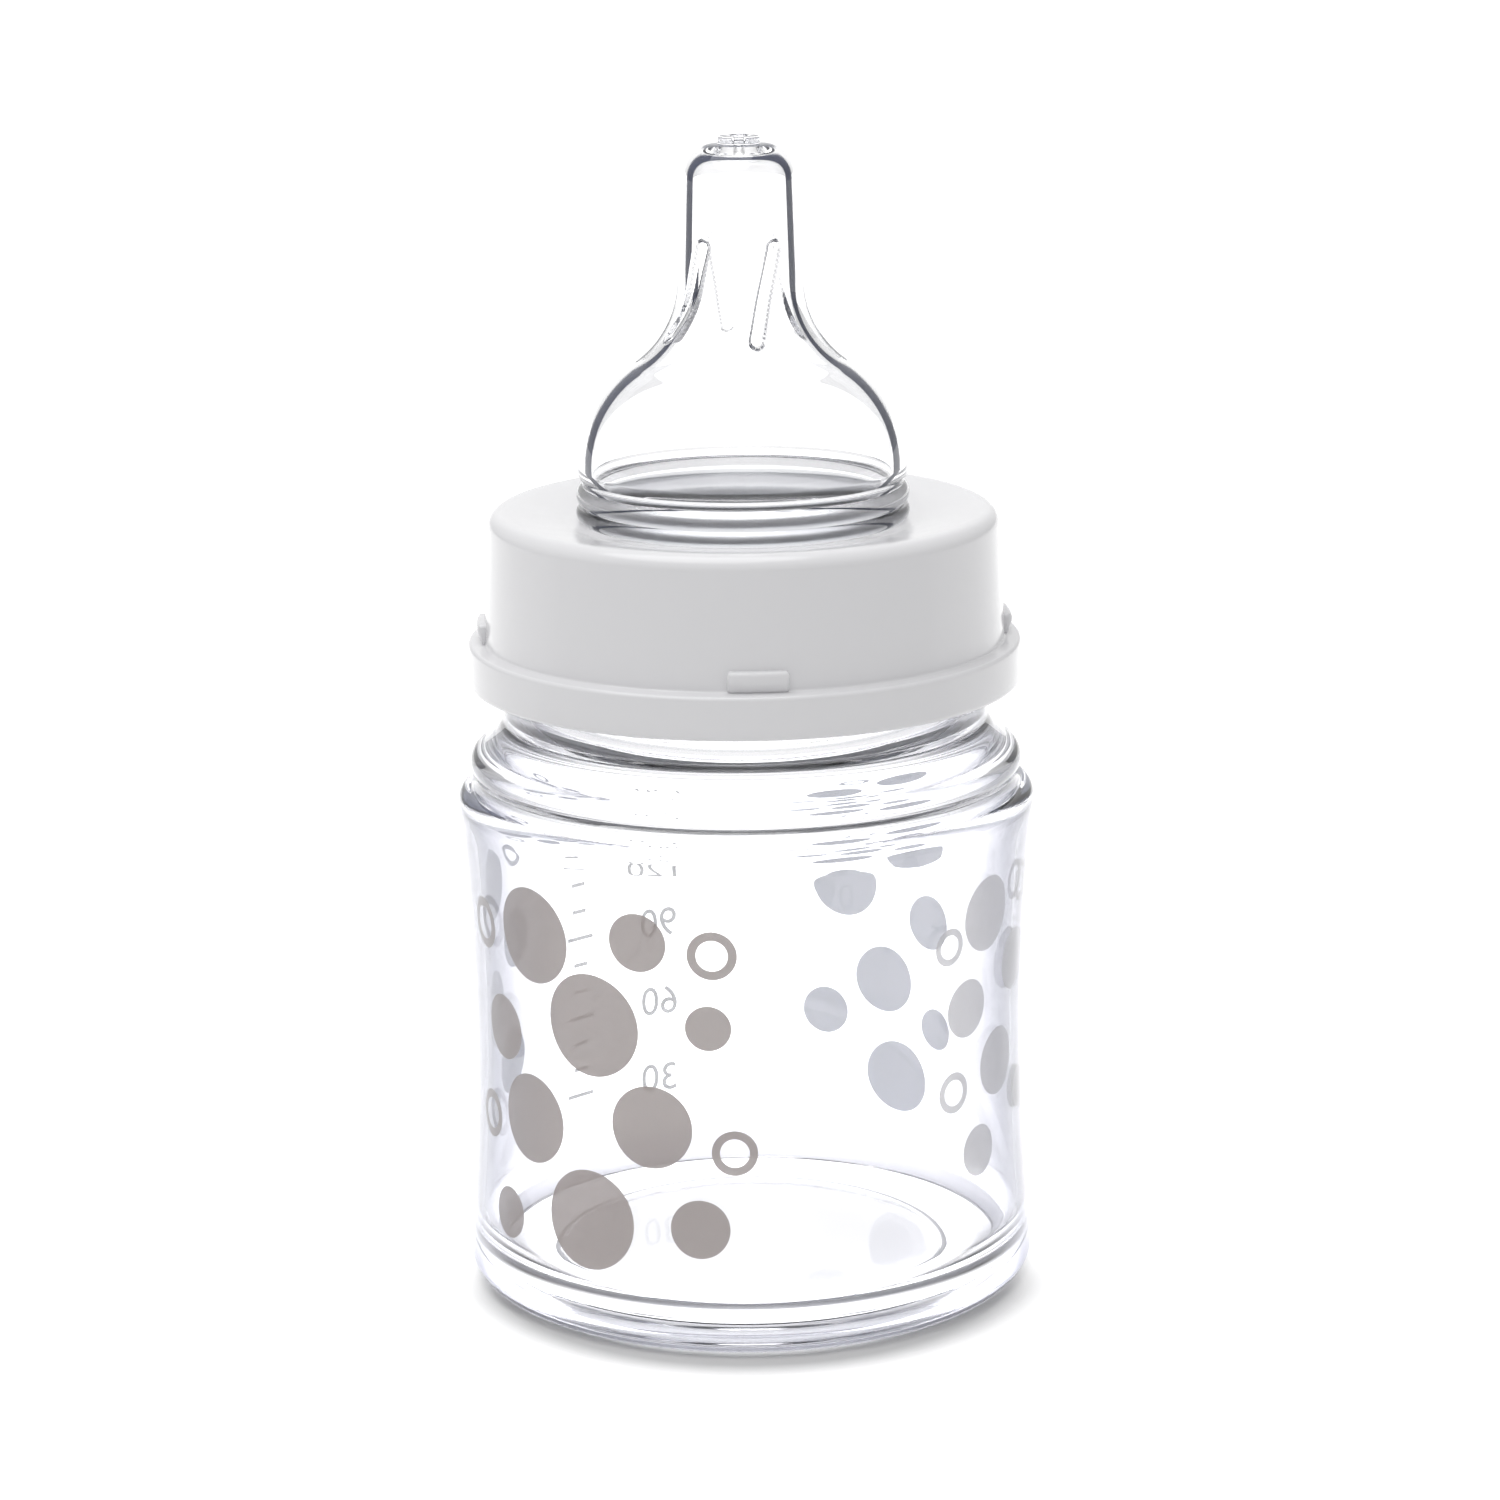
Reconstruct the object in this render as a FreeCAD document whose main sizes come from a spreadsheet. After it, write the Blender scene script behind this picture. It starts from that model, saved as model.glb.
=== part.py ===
import FreeCAD, Part
import math
import os
import re
import Sketcher

# Baby bottle: a clear waisted bottle, a soft teat and a screw ring that clamps the teat on the bottle's rim.
# Millimetres, +Z up along the common axis, origin at the middle of the base. The photographed front is -Y.

os.makedirs("parts", exist_ok=True)
doc = FreeCAD.newDocument("baby_bottle")

# Driving dimensions in millimetres and degrees. Heights are above the surface that the bottle stands on.
DIMENSIONS = [
    ("bottle_wall", 1.8),
    ("floor_thickness", 1.6),
    ("push_up", 1.0),
    ("foot_width", 7.4),
    ("body_radius", 33.4),
    ("heel_radius", 2.6),
    ("inner_heel_radius", 6.0),
    ("side_curve", 300.0),
    ("shoulder_radius", 33.5),
    ("shoulder_height", 58.8),
    ("shoulder_edge", 1.5),
    ("step_inset", 2.0),
    ("step_rise", 1.6),
    ("step_bead_height", 3.0),
    ("step_bead_round", 2.0),
    ("collar_slope", 3.8),
    ("collar_width", 1.6),
    ("collar_height", 3.2),
    ("neck_radius", 26.2),
    ("neck_wall", 1.9),
    ("neck_length", 16.2),
    ("rim_round", 0.5),
    ("inner_shoulder_drop", 2.4),
    ("seal_thickness", 1.6),
    ("seal_overhang", 0.3),
    ("plate_thickness", 1.6),
    ("snap_depth", 0.5),
    ("snap_clearance", 0.3),
    ("bead_root_radius", 18.4),
    ("bead_height", 1.8),
    ("bead_round", 0.92),
    ("upper_bead_height", 2.3),
    ("upper_bead_round", 1.3),
    ("skirt_radius", 18.9),
    ("skirt_height", 1.6),
    ("dome_and_flare", 22.0),
    ("flare_share", 0.4533),
    ("nipple_radius", 7.15),
    ("nipple_taper", 0.3),
    ("nipple_length", 15.0),
    ("tip_round", 4.0),
    ("nub_radius", 2.4),
    ("nub_height", 0.9),
    ("nub_round", 0.4),
    ("feed_hole_radius", 0.4),
    ("teat_wall", 1.6),
    ("rib_width", 1.9),
    ("rib_sunk", 0.4),
    ("rib_above_flare", 3.8),
    ("rib_below_flare", 6.8),
    ("rib_twist", 34.0),
    ("rib_start", 45.0),
    ("ring_gap", 0.6),
    ("thread_room", 2.0),
    ("ring_wall", 1.8),
    ("ring_draft", 0.6),
    ("ring_flange_width", 2.0),
    ("ring_flange_height", 5.0),
    ("ring_flange_round", 0.5),
    ("ring_top_round", 1.8),
    ("ring_rim_rise", 1.2),
    ("ring_seat_width", 1.8),
    ("ring_turned", 2.8),
    ("snap_bump_angle", 13.0),
    ("snap_bump_height", 2.5),
    ("snap_bump_depth", 0.9),
    ("snap_bump_root", 0.8),
]
RIB_COUNT = 4
SNAP_BUMP_COUNT = 4

sizes = doc.addObject("Spreadsheet::Sheet", "Sizes")
for row, (alias, value) in enumerate(DIMENSIONS, 1):
    sizes.set(f"A{row}", alias)
    sizes.set(f"B{row}", str(value))
    sizes.setAlias(f"B{row}", alias)
doc.recompute()


def bound(formula):
    """The formula as another object writes it, with each alias taken from the sheet."""
    return re.sub(r"\b[a-z_]+\b(?!\()", r"Sizes.\g<0>", formula)


def value_of(formula):
    """The formula's present value, so that an outline starts where its constraints put it."""
    return float(sizes.evalExpression(bound(formula)))


def arc_between(start, end, radius, turns_left):
    """The short arc from start to end; it turns left or right on the way."""
    chord = end - start
    middle = (start + end) * 0.5
    side = FreeCAD.Vector(-chord.y, chord.x, 0).normalize()
    if not turns_left:
        side = side * -1
    centre = middle + side * math.sqrt(max(radius**2 - chord.Length**2 / 4, 0))
    first, last = (start, end) if turns_left else (end, start)
    first_angle = math.atan2(first.y - centre.y, first.x - centre.x)
    last_angle = math.atan2(last.y - centre.y, last.x - centre.x)
    circle = Part.Circle(centre, FreeCAD.Vector(0, 0, 1), radius)
    return Part.ArcOfCircle(circle, first_angle, last_angle)


def half_section(body, name, corners):
    """A closed outline on the body's XZ plane, bound to the sheet. Each corner is its radius and height, and
    for a round stretch to the next corner also the side it turns to and its arc's radius."""
    sketch = body.newObject("Sketcher::SketchObject", name)
    planes = body.Origin.OriginFeatures
    sketch.AttachmentSupport = (next(plane for plane in planes if plane.Role == "XZ_Plane"), "")
    sketch.MapMode = "FlatFace"
    points = [FreeCAD.Vector(value_of(corner[0]), value_of(corner[1]), 0) for corner in corners]
    starts = []
    ends = []
    for index, corner in enumerate(corners):
        start = points[index]
        end = points[(index + 1) % len(points)]
        turns_right = len(corner) > 2 and corner[2] == "right"
        if len(corner) > 2:
            stretch = arc_between(start, end, value_of(corner[3]), not turns_right)
        else:
            stretch = Part.LineSegment(start, end)
        sketch.addGeometry(stretch, False)
        starts.append((index, 2 if turns_right else 1))
        ends.append((index, 1 if turns_right else 2))
    for index in range(len(corners)):
        following = starts[(index + 1) % len(corners)]
        sketch.addConstraint(Sketcher.Constraint("Coincident", *ends[index], *following))
    for index, corner in enumerate(corners):
        for axis, direction, formula in ((-2, "DistanceX", corner[0]), (-1, "DistanceY", corner[1])):
            if formula == "0":
                sketch.addConstraint(Sketcher.Constraint("PointOnObject", *starts[index], axis))
                continue
            placed = Sketcher.Constraint(direction, -1, 1, *starts[index], value_of(formula))
            sketch.setExpression(f"Constraints[{sketch.addConstraint(placed)}]", bound(formula))
        if len(corner) > 2:
            rounded = Sketcher.Constraint("Radius", index, value_of(corner[3]))
            sketch.setExpression(f"Constraints[{sketch.addConstraint(rounded)}]", bound(corner[3]))
    return sketch


def turned(body, name, sketch):
    """The outline turned once round the axis."""
    revolution = body.newObject("PartDesign::Revolution", name)
    revolution.Profile = sketch
    revolution.ReferenceAxis = (sketch, ["V_Axis"])
    revolution.Angle = 360
    return revolution


# Bottle: one clear moulding. The waisted side runs from the rounded heel to the shoulder's edge, a step with a
# bead leads to the collar, and the neck stands up inside the ring to the rim that the teat seals on.
bottle = doc.addObject("PartDesign::Body", "bottle")
floor_top = "push_up + floor_thickness"
inner_side = "body_radius - bottle_wall"
step_radius = "shoulder_radius - step_inset"
step_height = "shoulder_height + step_rise"
step_top = f"{step_height} + step_bead_height"
step_top_radius = f"{step_radius} - step_bead_round / 2"
collar_radius = "neck_radius + collar_width"
collar_bottom = f"{step_top} + collar_slope"
collar_top = f"{collar_bottom} + collar_height"
neck_bore = "neck_radius - neck_wall"
rim_height = f"{collar_top} + neck_length"
bottle_section = half_section(bottle, "bottle_section", [
    ("0", "push_up"),
    ("body_radius - heel_radius - foot_width - push_up", "push_up"),
    ("body_radius - heel_radius - foot_width", "0"),
    ("body_radius - heel_radius", "0", "left", "heel_radius"),
    ("body_radius", "heel_radius", "right", "side_curve"),
    ("shoulder_radius", "shoulder_height - shoulder_edge", "left", "shoulder_edge"),
    ("shoulder_radius - shoulder_edge", "shoulder_height"),
    (step_radius, step_height, "left", "step_bead_round"),
    (step_top_radius, step_top),
    (collar_radius, collar_bottom),
    (collar_radius, collar_top),
    ("neck_radius", f"{collar_top} + collar_width"),
    ("neck_radius", f"{rim_height} - rim_round", "left", "rim_round"),
    ("neck_radius - rim_round", rim_height),
    (f"{neck_bore} + rim_round", rim_height, "left", "rim_round"),
    (neck_bore, f"{rim_height} - rim_round"),
    (neck_bore, f"{collar_bottom} + bottle_wall"),
    (f"{step_top_radius} - bottle_wall", f"{step_top} - bottle_wall"),
    (f"{step_radius} - bottle_wall", step_height),
    ("shoulder_radius - bottle_wall", "shoulder_height - inner_shoulder_drop", "left", "side_curve + bottle_wall"),
    (inner_side, f"{floor_top} + inner_heel_radius", "right", "inner_heel_radius"),
    (f"{inner_side} - inner_heel_radius", floor_top),
    ("0", floor_top),
])
turned(bottle, "bottle_turned", bottle_section)

# Teat: one soft clear moulding. Its flange lies on the bottle's rim, its groove holds the ring's plate, and two
# beads, a dome and a flare lead up to the nipple, whose inside carries spiral ribs that keep it from collapsing.
teat_shell = doc.addObject("PartDesign::Body", "teat_shell")
seal_top = f"{rim_height} + seal_thickness"
plate_top = f"{seal_top} + plate_thickness"
snap_groove = "bead_root_radius - snap_depth"
bead_top = f"{plate_top} + bead_height"
upper_bead_top = f"{bead_top} + upper_bead_height"
dome_height = f"{upper_bead_top} + skirt_height"
flare_height = f"{dome_height} + dome_and_flare"
nipple_height = f"{flare_height} + nipple_length"
reach = "(skirt_radius - nipple_radius)"
both_arcs = f"(({reach}^2 + dome_and_flare^2) / (2 * {reach}))"
flare_round = f"({both_arcs} * flare_share)"
dome_round = f"({both_arcs} - {flare_round})"
flare_centre = f"(nipple_radius + {flare_round})"


def on_flare(offset):
    """Where the flare's arc, moved inwards by offset, meets the dome's arc: its radius and height."""
    share = f"(({flare_round} + {offset}) / {both_arcs})"
    radius = f"{flare_centre} - ({flare_centre} - skirt_radius + {dome_round}) * {share}"
    return radius, f"{flare_height} - dome_and_flare * {share}"


nipple_top_radius = "nipple_radius - nipple_taper"
tip_side = f"{nipple_height} - tip_round"
teat_section = half_section(teat_shell, "teat_section", [
    (f"{snap_groove} - teat_wall", rim_height),
    ("neck_radius + seal_overhang", rim_height),
    ("neck_radius + seal_overhang", seal_top),
    (snap_groove, seal_top),
    (snap_groove, plate_top),
    ("bead_root_radius", plate_top, "left", "bead_round"),
    ("bead_root_radius", bead_top, "left", "upper_bead_round"),
    ("bead_root_radius", upper_bead_top),
    ("skirt_radius", f"{dome_height} - skirt_height / 3"),
    ("skirt_radius", dome_height, "left", dome_round),
    (*on_flare("0"), "right", flare_round),
    ("nipple_radius", flare_height),
    (nipple_top_radius, tip_side, "left", "tip_round"),
    (f"{nipple_top_radius} - tip_round", nipple_height),
    ("nub_radius", nipple_height),
    ("nub_radius", f"{nipple_height} + nub_height - nub_round", "left", "nub_round"),
    ("nub_radius - nub_round", f"{nipple_height} + nub_height"),
    ("feed_hole_radius", f"{nipple_height} + nub_height"),
    ("feed_hole_radius", f"{nipple_height} - teat_wall"),
    (f"{nipple_top_radius} - tip_round", f"{nipple_height} - teat_wall", "right", "tip_round - teat_wall"),
    (f"{nipple_top_radius} - teat_wall", tip_side),
    ("nipple_radius - teat_wall", flare_height, "left", f"{flare_round} + teat_wall"),
    (*on_flare("teat_wall"), "right", f"{dome_round} - teat_wall"),
    ("skirt_radius - teat_wall", dome_height),
    (f"{snap_groove} - teat_wall", bead_top),
])
turned(teat_shell, "teat_turned", teat_section)


def inner_radius(height):
    """The radius of the nipple's bore and of the flare below it at a height."""
    bore = value_of("nipple_radius - teat_wall")
    flare_top = value_of(flare_height)
    if height >= flare_top:
        rise = (height - flare_top) / (value_of(tip_side) - flare_top)
        return bore - value_of("nipple_taper") * rise
    bend = value_of(f"{flare_round} + teat_wall")
    return bore + bend - math.sqrt(bend**2 - (flare_top - height)**2)


def rib(first_angle):
    """A half-round rib along the inner wall, turning about the axis as it goes down, with round ends."""
    section_radius = value_of("rib_width") / 2
    steps = 8
    points = []
    for step in range(steps + 1):
        share = step / steps
        rib_top = value_of(f"{flare_height} + rib_above_flare")
        height = rib_top - value_of("rib_above_flare + rib_below_flare") * share
        angle = math.radians(first_angle - value_of("rib_twist") * share)
        radius = inner_radius(height) + value_of("rib_sunk")
        points.append(FreeCAD.Vector(radius * math.sin(angle), -radius * math.cos(angle), height))
    path = Part.BSplineCurve()
    path.interpolate(points)
    start_tangent = path.tangent(path.FirstParameter)[0]
    section = Part.Wire(Part.Circle(points[0], start_tangent, section_radius).toShape())
    solid = Part.Wire(path.toShape()).makePipeShell([section], True, False)
    ends = [Part.makeSphere(section_radius, end) for end in (points[0], points[-1])]
    return solid.fuse(ends).removeSplitter()


doc.recompute()
ribs = []
for number in range(RIB_COUNT):
    feature = doc.addObject("Part::Feature", f"teat_rib_{number + 1}")
    feature.Shape = rib(value_of("rib_start") + number * 360 / RIB_COUNT)
    ribs.append(feature)
teat = doc.addObject("Part::MultiFuse", "teat")
teat.Shapes = [teat_shell] + ribs

# Screw ring: one stiff moulding. Its dished plate presses the teat's flange on the rim, its wall drafts in
# upwards, and four bumps above the flange hold a hood.
ring = doc.addObject("PartDesign::Body", "screw_ring")
ring_hole = f"{snap_groove} + snap_clearance"
ring_bottom = f"{collar_top} + ring_gap"
ring_bore = "neck_radius + thread_room"
ring_wall_radius = f"{ring_bore} + ring_wall"
ring_flange_radius = f"{ring_wall_radius} + ring_flange_width"
flange_top = f"{ring_bottom} + ring_flange_height"
ring_top = f"{plate_top} + ring_rim_rise"
ring_shoulder = f"{ring_wall_radius} - ring_draft"
ring_section = half_section(ring, "ring_section", [
    (ring_bore, ring_bottom),
    (f"{ring_flange_radius} - ring_flange_round", ring_bottom, "left", "ring_flange_round"),
    (ring_flange_radius, f"{ring_bottom} + ring_flange_round"),
    (ring_flange_radius, f"{flange_top} - ring_flange_round", "left", "ring_flange_round"),
    (f"{ring_flange_radius} - ring_flange_round", flange_top),
    (ring_wall_radius, flange_top),
    (ring_shoulder, f"{ring_top} - ring_top_round", "left", "ring_top_round"),
    (f"{ring_shoulder} - ring_top_round", ring_top),
    (f"{ring_hole} + ring_seat_width", plate_top),
    (ring_hole, plate_top),
    (ring_hole, seal_top),
    (ring_bore, seal_top),
])
turned(ring, "ring_turned", ring_section)
bump_section = half_section(ring, "snap_bump_section", [
    (f"{ring_wall_radius} - snap_bump_root", flange_top),
    (ring_wall_radius, flange_top),
    (f"{ring_wall_radius} + snap_bump_depth", f"{flange_top} + snap_bump_height"),
    (f"{ring_wall_radius} - snap_bump_root", f"{flange_top} + snap_bump_height"),
])
bump = ring.newObject("PartDesign::Revolution", "snap_bump")
bump.Profile = bump_section
bump.ReferenceAxis = (bump_section, ["V_Axis"])
bump.setExpression("Angle", bound("snap_bump_angle"))
bump.Midplane = True
bumps = ring.newObject("PartDesign::PolarPattern", "snap_bumps")
bumps.Originals = [bump]
bumps.Axis = (bump_section, ["V_Axis"])
bumps.Angle = 360
bumps.Occurrences = SNAP_BUMP_COUNT
ring.Tip = bumps
ring.Placement.Rotation = FreeCAD.Rotation(FreeCAD.Vector(0, 0, 1), value_of("ring_turned"))

doc.recompute()
for item in doc.Objects:
    if "Invalid" in item.State or "Error" in item.State:
        raise RuntimeError(f"{item.Label} failed: {item.State}")
for part in (bottle, teat, ring):
    if part.Shape.isNull() or not part.Shape.isValid() or len(part.Shape.Solids) != 1:
        raise RuntimeError(f"{part.Label} isn't one valid solid")
for part in (bottle, teat, ring):
    part.Shape.exportStep(f"parts/{part.Label}.step")
    print(part.Label, round(part.Shape.Volume, 1), part.Shape.BoundBox)
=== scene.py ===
import math

import bmesh
import bpy
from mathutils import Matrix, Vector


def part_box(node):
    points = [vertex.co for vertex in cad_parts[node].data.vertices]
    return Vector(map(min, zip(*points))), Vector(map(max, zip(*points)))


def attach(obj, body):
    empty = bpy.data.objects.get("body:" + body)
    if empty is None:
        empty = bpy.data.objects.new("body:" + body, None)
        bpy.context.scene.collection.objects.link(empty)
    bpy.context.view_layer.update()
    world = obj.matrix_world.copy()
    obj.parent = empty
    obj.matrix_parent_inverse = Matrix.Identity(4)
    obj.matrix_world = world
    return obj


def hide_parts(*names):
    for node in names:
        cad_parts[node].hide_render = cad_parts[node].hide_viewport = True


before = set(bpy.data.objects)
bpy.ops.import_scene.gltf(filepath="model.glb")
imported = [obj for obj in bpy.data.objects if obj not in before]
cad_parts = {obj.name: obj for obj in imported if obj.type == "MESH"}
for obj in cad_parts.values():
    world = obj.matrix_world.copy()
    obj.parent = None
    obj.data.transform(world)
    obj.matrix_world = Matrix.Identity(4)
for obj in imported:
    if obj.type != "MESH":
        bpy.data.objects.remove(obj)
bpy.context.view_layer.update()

# Bottle: a clear waisted container with a rounded heel, a stepped shoulder, a collar and a screw neck.
# Moulded in one piece from clear plastic. Its thread is a raised ridge that winds up the neck, and its floor
# is pushed up in the middle, so that it stands on the ring round its edge.
rim_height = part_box("bottle")[1][2]
rim_round = 0.0005
push_up = 0.0010
push_up_radius = 0.0218
push_up_round = 0.0024
foot_inside = 0.0236
body_radius = 0.0334
heel_radius = 0.0026
side_curve = 0.300
shoulder_radius = 0.0335
shoulder_height = 0.0588
shoulder_round = 0.0015
step_radius = 0.0315
step_height = 0.0606
step_valley_round = 0.0021
step_top_radius = 0.0305
step_top = 0.0636
step_bead_round = 0.0018
collar_radius = 0.0278
collar_bottom = 0.0672
collar_top = 0.0704
collar_edge = 0.0002
collar_sweep = 0.0120
neck_radius = 0.0262
neck_root = 0.0717
neck_bore = 0.0243
bore_bottom = 0.0702
throat_radius = 0.0262
throat_height = 0.0668
throat_bend = 0.0060
inner_step_radius = 0.0297
inner_step_height = 0.0612
inner_shoulder_height = 0.0553
inner_shoulder_bend = 0.0080
bottle_wall = 0.0018
inner_heel = 0.0060
floor_top = 0.0026
thread_lead = 0.0060
thread_bottom = 0.0738
thread_top = 0.0842
thread_depth = 0.0013
thread_half_width = 0.0012
thread_crest_share = 0.35
turn_steps = 160
crease_angle = math.radians(40)
merge_distance = 0.000002
on_wall = 0.00002


def start_outline(name, radius, height):
    """A new piece that is one vertex, where its half section starts."""
    bpy.ops.object.select_all(action="DESELECT")
    bpy.ops.mesh.primitive_plane_add(size=0.001)
    piece = bpy.context.object
    piece.name = name
    piece.data.name = name
    bpy.ops.object.mode_set(mode="EDIT")
    bpy.ops.mesh.select_all(action="SELECT")
    bpy.ops.mesh.merge(type="CENTER")
    bpy.ops.transform.translate(value=(radius, 0, height))
    return piece


def outline_end():
    """Radius and height of the vertex that the outline has reached."""
    mesh = bmesh.from_edit_mesh(bpy.context.object.data)
    reached = next(vertex for vertex in mesh.verts if vertex.select)
    return reached.co.x, reached.co.z


def line_to(radius, height, pieces=1):
    """Extrudes the outline straight to a point, in equal pieces."""
    start_radius, start_height = outline_end()
    step = ((radius - start_radius) / pieces, 0, (height - start_height) / pieces)
    for _ in range(pieces):
        bpy.ops.mesh.extrude_vertices_move(TRANSFORM_OT_translate={"value": step})


def arc_to(radius, height, bend, steps):
    """Spins the outline to a point along a short arc. A positive bend radius turns left, a negative right."""
    start_radius, start_height = outline_end()
    across, up = radius - start_radius, height - start_height
    chord = math.hypot(across, up)
    reach = math.sqrt(max(bend**2 - chord**2 / 4, 0.0)) * math.copysign(1, bend)
    centre_radius = (start_radius + radius) / 2 - up / chord * reach
    centre_height = (start_height + height) / 2 + across / chord * reach
    angle = 2 * math.asin(min(chord / 2 / abs(bend), 1.0)) * math.copysign(1, bend)
    bpy.ops.mesh.spin(steps=steps, angle=angle, center=(centre_radius, 0, centre_height), axis=(0, 1, 0))
    end_radius, end_height = outline_end()
    bpy.ops.transform.translate(value=(radius - end_radius, 0, height - end_height))


def turn_on_axis(steps):
    """Spins the finished outline once round the axis and closes the seam and the poles."""
    bpy.ops.mesh.select_all(action="SELECT")
    bpy.ops.mesh.spin(steps=steps, angle=2 * math.pi, center=(0, 0, 0), axis=(0, 0, 1))
    bpy.ops.mesh.select_all(action="SELECT")
    bpy.ops.mesh.remove_doubles(threshold=merge_distance)
    bpy.ops.mesh.normals_make_consistent(inside=False)
    bpy.ops.object.mode_set(mode="OBJECT")
    bpy.ops.object.shade_smooth_by_angle(angle=crease_angle)


def smooth_step(low, high, value):
    """0 below low, 1 above high, and a smooth rise between them."""
    share = min(max((value - low) / (high - low), 0.0), 1.0)
    return share * share * (3 - 2 * share)


def push_out(vertex, distance):
    """Moves a vertex away from the axis, or towards it by a negative distance."""
    grow = 1 + distance / math.hypot(vertex.co.x, vertex.co.y)
    vertex.co.x *= grow
    vertex.co.y *= grow


def thread_ridge(angle, height, offset):
    """How far the right-hand thread stands up, from 0 to 1, at an angle and a height."""
    phase = (height - thread_bottom - offset - angle / (2 * math.pi) * thread_lead) / thread_lead
    from_crest = abs(phase - round(phase)) * thread_lead
    flank = 1 - smooth_step(thread_half_width * thread_crest_share, thread_half_width, from_crest)
    run_in = smooth_step(thread_bottom - thread_half_width, thread_bottom + thread_half_width, height)
    run_out = 1 - smooth_step(thread_top - thread_half_width, thread_top + thread_half_width, height)
    return flank * run_in * run_out


def add_thread(piece, wall_radius, lowest, offset, depth):
    """Raises the thread on a piece's plain cylinder, outwards or by a negative depth inwards."""
    for vertex in piece.data.vertices:
        from_wall = abs(math.hypot(vertex.co.x, vertex.co.y) - wall_radius)
        if from_wall < on_wall and vertex.co.z > lowest:
            angle = math.atan2(vertex.co.y, vertex.co.x)
            push_out(vertex, depth * thread_ridge(angle, vertex.co.z, offset))


def side_radius(height):
    """The bottle's outside radius on the waisted side at a height."""
    low_height, high_height = heel_radius, shoulder_height - shoulder_round
    across, up = shoulder_radius - body_radius, high_height - low_height
    chord = math.hypot(across, up)
    reach = math.sqrt(side_curve**2 - chord**2 / 4)
    centre_radius = (body_radius + shoulder_radius) / 2 + up / chord * reach
    centre_height = (low_height + high_height) / 2 - across / chord * reach
    return centre_radius - math.sqrt(side_curve**2 - (height - centre_height)**2)


bottle = start_outline("clear_bottle", 0, push_up)
line_to(push_up_radius, push_up, 6)
arc_to(foot_inside, 0, -push_up_round, 6)
line_to(body_radius - heel_radius, 0, 3)
arc_to(body_radius, heel_radius, heel_radius, 10)
arc_to(shoulder_radius, shoulder_height - shoulder_round, -side_curve, 44)
arc_to(shoulder_radius - shoulder_round, shoulder_height, shoulder_round, 8)
arc_to(step_radius, step_height, -step_valley_round, 6)
arc_to(step_top_radius, step_top, step_bead_round, 9)
arc_to(collar_radius + collar_edge, collar_bottom - collar_edge, -collar_sweep, 10)
line_to(collar_radius, collar_top - rim_round, 2)
arc_to(collar_radius - rim_round, collar_top, rim_round, 4)
line_to(neck_radius, neck_root)
line_to(neck_radius, rim_height - rim_round, 60)
arc_to(neck_radius - rim_round, rim_height, rim_round, 4)
line_to(neck_bore + rim_round, rim_height)
arc_to(neck_bore, rim_height - rim_round, rim_round, 4)
line_to(neck_bore, bore_bottom, 6)
arc_to(throat_radius, throat_height, throat_bend, 8)
arc_to(inner_step_radius, inner_step_height, -throat_bend, 8)
arc_to(shoulder_radius - bottle_wall, inner_shoulder_height, -inner_shoulder_bend, 8)
arc_to(body_radius - bottle_wall, floor_top + inner_heel, side_curve + bottle_wall, 40)
arc_to(body_radius - bottle_wall - inner_heel, floor_top, -inner_heel, 14)
line_to(0, floor_top, 8)
turn_on_axis(turn_steps)
add_thread(bottle, neck_radius, collar_top, 0, thread_depth)


def new_material(name):
    """A node material with its nodes, its links and its main shader."""
    material = bpy.data.materials.new(name)
    material.use_nodes = True
    nodes = material.node_tree.nodes
    return material, nodes, material.node_tree.links, nodes["Principled BSDF"]


def put_in(links, socket, value):
    """Links a socket to another one, or sets it to a number or a colour."""
    if isinstance(value, bpy.types.NodeSocket):
        links.new(value, socket)
    elif isinstance(value, tuple):
        socket.default_value = (*value, 1)
    else:
        socket.default_value = value


def maths(nodes, links, operation, *values):
    """The result of a sum on shader values or numbers."""
    node = nodes.new("ShaderNodeMath")
    node.operation = operation
    for socket, value in zip(node.inputs, values):
        put_in(links, socket, value)
    return node.outputs[0]


def mix_colours(nodes, links, share, first, second, blend="MIX"):
    """The first colour at share 0, going over to the second, or to both multiplied, at share 1."""
    mix = nodes.new("ShaderNodeMix")
    mix.data_type = "RGBA"
    mix.blend_type = blend
    put_in(links, mix.inputs[0], share)
    put_in(links, mix.inputs[6], first)
    put_in(links, mix.inputs[7], second)
    return mix.outputs[2]


def mix_shaders(nodes, links, share, first, second):
    """The first shader at share 0, going over to the second at share 1."""
    mix = nodes.new("ShaderNodeMixShader")
    for socket, value in zip(mix.inputs, (share, first, second)):
        put_in(links, socket, value)
    return mix.outputs["Shader"]


def map_range(nodes, links, value, from_range, to_range=(0, 1), smooth=False):
    """A shader value moved from one range to another and kept inside it."""
    spread = nodes.new("ShaderNodeMapRange")
    if smooth:
        spread.interpolation_type = "SMOOTHSTEP"
    spread.inputs["From Min"].default_value, spread.inputs["From Max"].default_value = from_range
    spread.inputs["To Min"].default_value, spread.inputs["To Max"].default_value = to_range
    links.new(value, spread.inputs["Value"])
    return spread.outputs["Result"]


def colour_ramp(nodes, links, value, stops):
    """A colour for each value from 0 to 1. A stop is a place with a colour or a level of grey."""
    ramp = nodes.new("ShaderNodeValToRGB")
    places = [place for place, _ in stops]
    colours = [(*colour, 1) if isinstance(colour, tuple) else (colour, colour, colour, 1) for _, colour in stops]
    first, last = ramp.color_ramp.elements
    first.position, first.color = places[0], colours[0]
    last.position, last.color = places[-1], colours[-1]
    for place, colour in zip(places[1:-1], colours[1:-1]):
        ramp.color_ramp.elements.new(place).color = colour
    links.new(value, ramp.inputs["Fac"])
    return ramp.outputs["Color"]


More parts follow.
